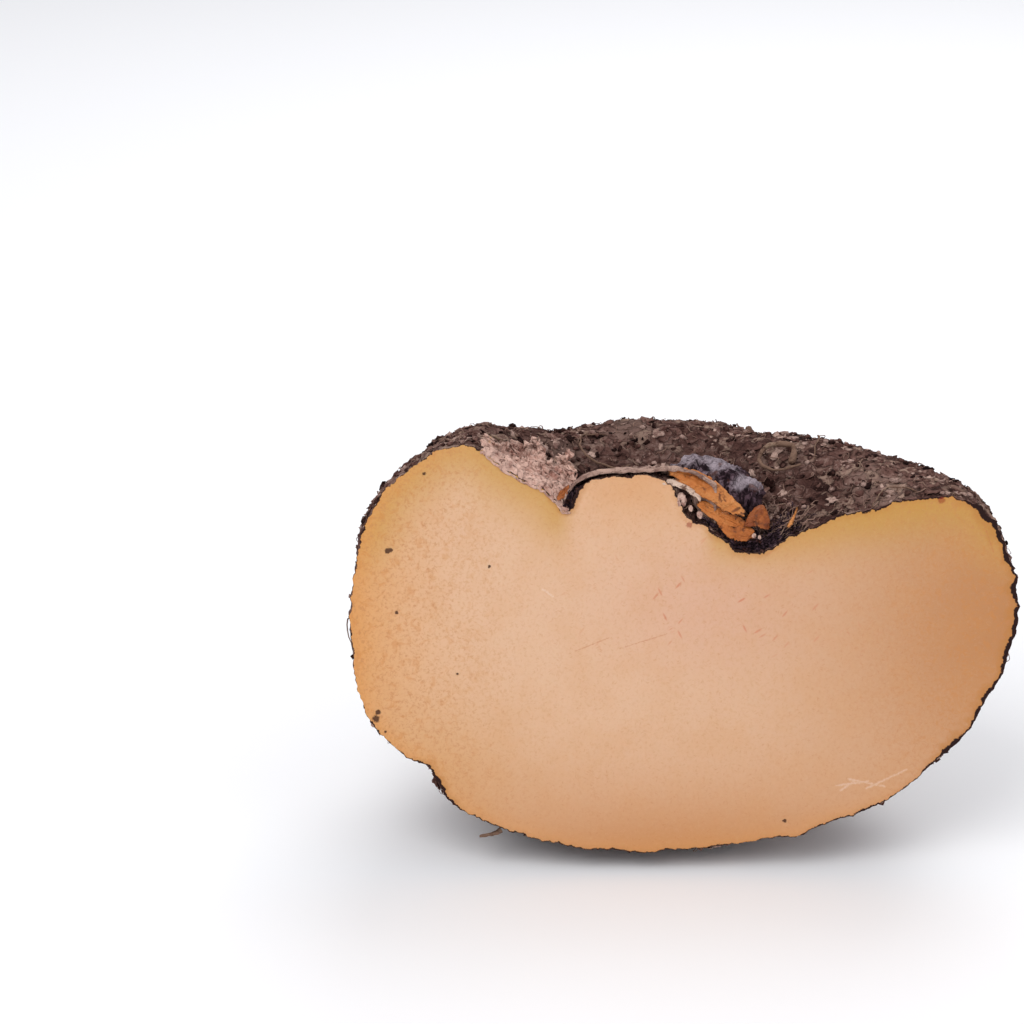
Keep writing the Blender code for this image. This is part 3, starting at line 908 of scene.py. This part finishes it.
def shoulder_scale(u, v):
    """Deepest behind the cut at its middle, with a ragged back edge."""
    reach = 6 + 29 * smooth_share((u + 1) / 0.8) * (1 - 0.15 * smooth_share((u - 0.5) / 0.5))
    reach *= (
        1 + 0.30 * noise.noise(Vector((u * 3, 0.0, 9.0))) + 0.08 * noise.noise(Vector((u * 14, 0.0, 4.0)))
    )
    if abs(u) > 0.96 + 0.05 * noise.noise(Vector((0.0, v * 6, u))):
        return None
    behind = 0.1 + reach * (v + 1) / 2
    across = -49.5 + 15.5 * u + 0.14 * behind
    spot = over_crown(across, behind, 0.0)
    edge_lift = 1.6 * max(v, 0) ** 3 + 0.8 * abs(u) ** 3
    lift = 1.0 + edge_lift + crumple(spot, 6.5, 0.8) + crumple(spot, 2.4, 0.12)
    front = smooth_share(1 - behind / 1.6)
    return over_crown(across, behind, lift * (1 - front)) - (CUT_UP * 1.1 - CUT_NORMAL * 0.5) * (front * MM)


paper = paper_material("papery_scale", (0.400, 0.190, 0.145), (0.740, 0.480, 0.390), (0.860, 0.730, 0.660))
scale = finish(sheet(120, 110, shoulder_scale), "papery_scale_dry", paper, "papery_scale", "papery_scale")
thicken(scale, 0.4 * MM)

# The sheath's front edge as (across, up) in mm, from the notch at the mound's left over to its right.
SHEATH_EDGE = (
    (-36.8, 53.6),
    (-35.2, 56.4),
    (-32.2, 59.2),
    (-27.2, 61.4),
    (-20.0, 62.3),
    (-11.0, 62.6),
    (-4.0, 63.0),
    (2.0, 62.8),
    (8.0, 60.6),
    (12.5, 58.0),
)


def along(points, share):
    """A smooth curve through the points, read at a share of its way from 0 to 1."""
    points = [Vector(point) for point in points]
    place = min(max(share, 0.0), 1.0) * (len(points) - 1)
    index = min(int(place), len(points) - 2)
    before, after = points[max(index - 1, 0)], points[min(index + 2, len(points) - 1)]
    start, end, part = points[index], points[index + 1], place - index
    return 0.5 * (
        2 * start
        + (end - before) * part
        + (2 * before - 5 * start + 4 * end - after) * part**2
        + (3 * start - before - 3 * end + after) * part**3
    )


def bud_sheath(u, v):
    """Its front edge stands over the mound and its back comes down to the skin."""
    share = (u + 1) / 2
    depth = 1.6 + 6.0 * (1 + 0.3 * noise.noise(Vector((u * 5, 0, 7.0)))) * math.sin(math.pi * share) ** 0.5
    edge = along(SHEATH_EDGE, share)
    part = (v + 1) / 2
    behind = 0.2 + depth * part
    roof = in_corm(edge.x, edge.y + 0.16 * behind, behind)
    foot = over_crown(edge.x, behind, 0.1)
    spot = roof.lerp(foot, smooth_share((part - 0.35) / 0.65))
    return spot + CUT_UP * crumple(spot, 4.0, 0.3) * MM


tan_paper = paper_material("bud_sheath", (0.190, 0.100, 0.080), (0.480, 0.310, 0.245), (0.640, 0.480, 0.400))
sheath = finish(sheet(170, 24, bud_sheath), "bud_sheath_dry", tan_paper, "papery_scale", "bud_scale")
thicken(sheath, 0.7 * MM)

# ---- Torn scale ----------------------------------------------------------------------------------
# Layers of orange inner tissue where a thick scale tore away beside the bud: folded moist shreds, one
# with a pale back, cracked black between, and small curled nodules below them.

# Each shred: its lower edge (across, up, behind) in mm, its width in mm, its tone and its lean back.
SHREDS = (
    (
        ((-4.0, 60.6, 1.0), (3.0, 57.6, 0.8), (9.0, 53.6, 0.7), (15.6, 49.2, 0.6), (21.6, 46.8, 0.8)),
        7.0,
        0.7,
        0.5,
    ),
    (((-5.4, 58.2, 0.5), (-0.8, 57.6, 0.4), (3.8, 55.6, 0.5), (7.4, 52.4, 0.9)), 3.0, 1.6, 0.5),
    (((6.0, 50.8, 0.8), (10.6, 47.2, 0.6), (15.4, 44.6, 0.7), (20.0, 43.4, 1.2)), 5.2, 0.6, 0.6),
    (((12.6, 44.2, 0.3), (16.2, 41.2, 0.3), (19.8, 39.2, 0.3), (24.6, 39.4, 0.6)), 8.0, 0.45, 0.4),
    (((21.4, 43.4, 0.8), (25.2, 44.4, 0.8), (29.6, 42.0, 1.2)), 7.5, 0.25, 0.5),
    (((35.8, 43.6, 0.6), (37.6, 45.4, 1.0), (38.8, 49.4, 1.6)), 3.4, 0.8, 0.3),
    (((-39.5, 53.0, 0.4), (-37.5, 53.6, 0.4), (-35.8, 55.4, 0.6)), 4.6, 0.35, 0.5),
)
# Small curled nodules in the dark below the shreds: (across, up, radius) in mm.
NODULES = ((1.2, 53.0, 1.9), (4.4, 50.4, 0.8), (7.4, 48.2, 1.0), (25.2, 41.2, 0.7), (27.0, 40.8, 0.6))


def torn_material():
    """Orange by tone: red-brown below 0.3, pale above 1."""
    material, tree, shader, where = new_material("torn_tissue", 0.45, 0.25)
    cork = corky_outputs(tree, where, 300.0)
    tone = maths(tree, "MULTIPLY_ADD", cork["Mottle"], 0.9, maths(tree, "ADD", attribute(tree, "tone"), -0.5))
    colour = mixed(tree, spread(tree, tone, 0.15, 0.70), (0.200, 0.042, 0.012), (0.540, 0.165, 0.036))
    colour = mixed(tree, spread(tree, tone, 0.60, 1.10), colour, (0.700, 0.300, 0.095))
    colour = mixed(tree, spread(tree, tone, 1.1, 1.6), colour, (0.760, 0.560, 0.440))
    stains = clouds(tree, where, 330.0, 4.0, 0.7)
    colour = mixed(tree, spread(tree, stains, 0.54, 0.66, 0.0, 0.85), colour, (0.120, 0.035, 0.014))
    for turn in (0.45, 0.6):
        crease = strokes(tree, where, turn, 420.0, 5.0, 0.34)
        colour = tinted(tree, colour, crease, 0.8, (0.100, 0.026, 0.010))
    frayed = maths(tree, "MULTIPLY_ADD", stains, 0.5, attribute(tree, "edge"))
    colour = mixed(tree, spread(tree, frayed, 1.05, 1.22, 0.0, 0.9), colour, (0.035, 0.014, 0.010))
    surface(tree, shader, colour, cork["Height"], 0.4 * MM)
    return material


shred_mesh = bmesh.new()
shred_tone = shred_mesh.verts.layers.float.new("tone")
shred_edge = shred_mesh.verts.layers.float.new("edge")
for number, (lower_edge, width, tone, back) in enumerate(SHREDS):
    made = bmesh.ops.create_grid(shred_mesh, x_segments=56, y_segments=22, size=1.0)["verts"]
    torn_off = []
    for vertex in made:
        u, v = vertex.co.x, vertex.co.y
        share, rise = (u + 1) / 2, (v + 1) / 2
        taper = 0.35 + 0.65 * math.sin(math.pi * (0.1 + 0.85 * share))
        start = along(lower_edge, share)
        spot = in_corm(
            start.x + 0.35 * width * taper * rise,
            start.y + width * taper * rise * (1 - 0.3 * back * rise),
            start.z + width * taper * back * rise**1.6,
        )
        fray = ragged(u, v, number * 5.0, 0.5)
        if fray < 0.0:
            torn_off.append(vertex)
        vertex[shred_tone] = tone
        vertex[shred_edge] = 1 - min(fray, 1.0)
        fold = crumple(spot, 4.2, 0.45) + 0.5 * noise.noise(Vector((u * 2, v * 6, number)))
        vertex.co = spot + CUT_NORMAL * fold * MM
    bmesh.ops.delete(shred_mesh, geom=torn_off, context="VERTS")
torn = torn_material()
shreds = finish(shred_mesh, "torn_tissue", torn, "torn_scale", "torn_scale")
thicken(shreds, 0.5 * MM)


def nodule_material():
    material, tree, shader, where = new_material("nodule", 0.6, 0.3)
    cork = corky_outputs(tree, where, 900.0)
    red_brown, pink = (0.300, 0.120, 0.090), (0.700, 0.470, 0.380)
    colour = mixed(tree, spread(tree, cork["Mottle"], 0.44, 0.72), red_brown, pink)
    surface(tree, shader, colour, cork["Height"], 0.3 * MM)
    return material


nodule_mesh = bmesh.new()
for across, up, radius in NODULES:
    middle = in_corm(across, up, radius * 0.55)
    made = bmesh.ops.create_uvsphere(
        nodule_mesh, u_segments=24, v_segments=14, radius=radius * MM, matrix=Matrix.Translation(middle)
    )
    for vertex in made["verts"]:
        outward = (vertex.co - middle) / (radius * MM)
        dent = math.exp(-(((outward - CUT_NORMAL * 0.9).length / 0.55) ** 2))
        uneven = noise.noise(vertex.co / (0.9 * MM)) * 0.3
        vertex.co += outward * (uneven - 0.75 * dent) * radius * MM
        vertex.co.z += outward.z * 0.3 * radius * MM
finish(nodule_mesh, "curled_nodules", nodule_material(), "torn_scale")

# ---- Old leaf base -------------------------------------------------------------------------------
# The shrivelled foot of last season's leaf, collapsed into the crown's groove: a dark, blue-grey, matted
# lump, painted paler on its upward faces as a highlight, and black rotted fibres where it meets the corm.


def leaf_base_material():
    material, tree, shader, where = new_material("old_leaf_base", 0.85, 0.1)
    cork = corky_outputs(tree, where, 420.0)
    along_folds = {"Vector": where, "Rotation": (0.0, -0.7, 0.0), "Scale": (1.0, 1.0, 0.32)}
    turned = add(tree, "ShaderNodeMapping", along_folds).outputs[0]
    streaks = clouds(tree, turned, 520.0, 5.0, 0.7, stray=0.8)
    colour = mixed(tree, spread(tree, streaks, 0.42, 0.62), (0.014, 0.006, 0.009), (0.130, 0.075, 0.095))
    # Paler on upward faces: a painted highlight, broken up by the streaks.
    pale = maths(tree, "MULTIPLY_ADD", streaks, 1.8, attribute(tree, "painted_highlight"))
    colour = mixed(tree, spread(tree, pale, 1.30, 2.05), colour, (0.440, 0.360, 0.400))
    creases = clouds(tree, turned, 240.0, 3.0, 0.6, "RIDGED_MULTIFRACTAL", 1.2)
    colour = mixed(tree, spread(tree, creases, 0.75, 1.15, 0.0, 0.85), colour, (0.012, 0.005, 0.007))
    rusty = clouds(tree, where, 230.0, 3.0)
    colour = mixed(tree, spread(tree, rusty, 0.58, 0.70, 0.0, 0.6), colour, (0.130, 0.040, 0.022))
    tree.links.new(colour, shader.inputs["Base Color"])
    height = maths(tree, "MULTIPLY_ADD", streaks, 1.5, cork["Height"])
    bump(tree, shader, height, 0.8 * MM)
    return material


lump = merged_copy("old_leaf_base")
bmesh.ops.subdivide_edges(lump, edges=lump.edges[:], cuts=4, use_grid_fill=True)
bmesh.ops.triangulate(lump, faces=[face for face in lump.faces if len(face.verts) > 4])
for _ in range(3):
    bmesh.ops.smooth_vert(
        lump, verts=lump.verts, factor=0.5, use_axis_x=True, use_axis_y=True, use_axis_z=True
    )
lump.normal_update()
top_highlight_layer = lump.verts.layers.float.new("painted_highlight")
moves = []
for vertex in lump.verts:
    across, behind, up = corm_place(vertex.co)
    point = vertex.co
    # Folds run along the lump, down to the right.
    slant = Vector((point.x * 0.35 + point.z * 0.3, point.y, point.z + 0.75 * point.x))
    fold = 1 - 2.4 * abs(noise.noise(slant / (5.0 * MM)))
    relief = 1.5 * fold + 1.6 * noise.noise(point / (7 * MM)) + 0.6 * noise.noise(point / (1.7 * MM))
    # Upward faces carry a painted highlight.
    on_top = smooth_share(0.5 + vertex.normal.z * 0.9)
    vertex[top_highlight_layer] = 0.9 * on_top * (0.7 + noise.noise(point / (6 * MM)))
    moves.append(vertex.normal * relief * MM)
for vertex, move in zip(lump.verts, moves):
    vertex.co += move
rotted = leaf_base_material()
finish(lump, "shrivelled_leaf_base", rotted, "old_leaf_base", "old_leaf_base")


def matted(count, middle, reach, length, draw):
    """Tangled fibres that lie on the crown: middle and reach are (across, behind, height) in mm."""
    paths = []
    for _ in range(count):
        across, behind, height = [draw.gauss(centre, 0.45 * span) for centre, span in zip(middle, reach)]
        turn = draw.uniform(0, math.tau)
        path = []
        for _ in range(7):
            path.append(over_crown(across, max(behind, 0.7), min(max(height, 0.2), 2 * reach[2])))
            across += math.cos(turn) * length / 6
            behind += math.sin(turn) * length / 6
            height += draw.gauss(0, 0.4)
            turn += draw.gauss(0, 0.5)
        thick = draw.uniform(0.12, 0.34) * MM
        paths.append((path, thick, thick * 0.5))
    return paths


tangle = random.Random(41)
dark_paths = matted(130, (30, 3, 1.5), (8, 4, 3), 6, tangle)
dark_paths += matted(60, (36, 6, 1.5), (6, 5, 2), 7, tangle)
dark_paths += matted(40, (18, 2, 1), (9, 2, 1), 5, tangle)
dark_paths += matted(60, (-35.5, 1.5, 1), (3, 1.5, 1.2), 3, tangle)
finish(threads("rotted_fibres", dark_paths, 4), "rotted_fibres", rotted, "old_leaf_base")
pale_paths = matted(60, (24, 14, 1.5), (14, 8, 2), 6, tangle) + matted(45, (38, 5, 2), (6, 5, 3), 8, tangle)
finish(threads("pale_fibres", pale_paths, 4), "pale_fibres", dry_fibre, "old_leaf_base")

# ---- Floor, light and camera ---------------------------------------------------------------------
# A plain pale floor, a big soft light from the upper left, weaker ones from the right and from behind,
# and bright air.

PALE = (0.95, 0.95, 0.96)
floor_mesh = bmesh.new()
bmesh.ops.create_grid(floor_mesh, x_segments=1, y_segments=1, size=4.0)
floor = link_mesh("floor", floor_mesh)
floor_material, _, floor_shader, _ = new_material("pale_floor", 0.9, 0.1)
floor_shader.inputs["Base Color"].default_value = (*PALE, 1.0)
floor.data.materials.append(floor_material)

world = bpy.data.worlds.new("air")
world.use_nodes = True
world.node_tree.nodes["Background"].inputs["Color"].default_value = (0.95, 0.96, 1.0, 1.0)
world.node_tree.nodes["Background"].inputs["Strength"].default_value = 0.60
bpy.context.scene.world = world

middle = Vector((0.0, 0.0, cad_box[1][2] / 2))


def soft_light(name, place, width, power):
    lamp = bpy.data.lights.new(name, "AREA")
    lamp.size = width
    lamp.energy = power
    obj = bpy.data.objects.new(name, lamp)
    obj.location = place
    obj.rotation_euler = (middle - Vector(place)).to_track_quat("-Z", "Y").to_euler()
    bpy.context.scene.collection.objects.link(obj)


soft_light("key", (-0.7, -0.9, 1.4), 1.2, 13.5)
soft_light("fill", (1.2, -0.8, 0.7), 0.9, 2.0)
soft_light("back", (0.3, 0.9, 1.2), 1.0, 8.5)

CAMERA_RISE = math.radians(22.0)
CAMERA_AWAY = 1.0
LENS = 108.8
AIM = CUT_POINT + Vector((-52 * MM, 0.0, 52 * MM))
camera = bpy.data.objects.new("camera", bpy.data.cameras.new("camera"))
camera.data.lens = LENS
camera.data.sensor_width = 36.0
camera.location = AIM + Vector((0.0, -math.cos(CAMERA_RISE), math.sin(CAMERA_RISE))) * CAMERA_AWAY
camera.rotation_euler = (math.pi / 2 - CAMERA_RISE, 0.0, 0.0)
bpy.context.scene.collection.objects.link(camera)
bpy.context.scene.camera = camera
bpy.context.scene.view_settings.view_transform = "Standard"
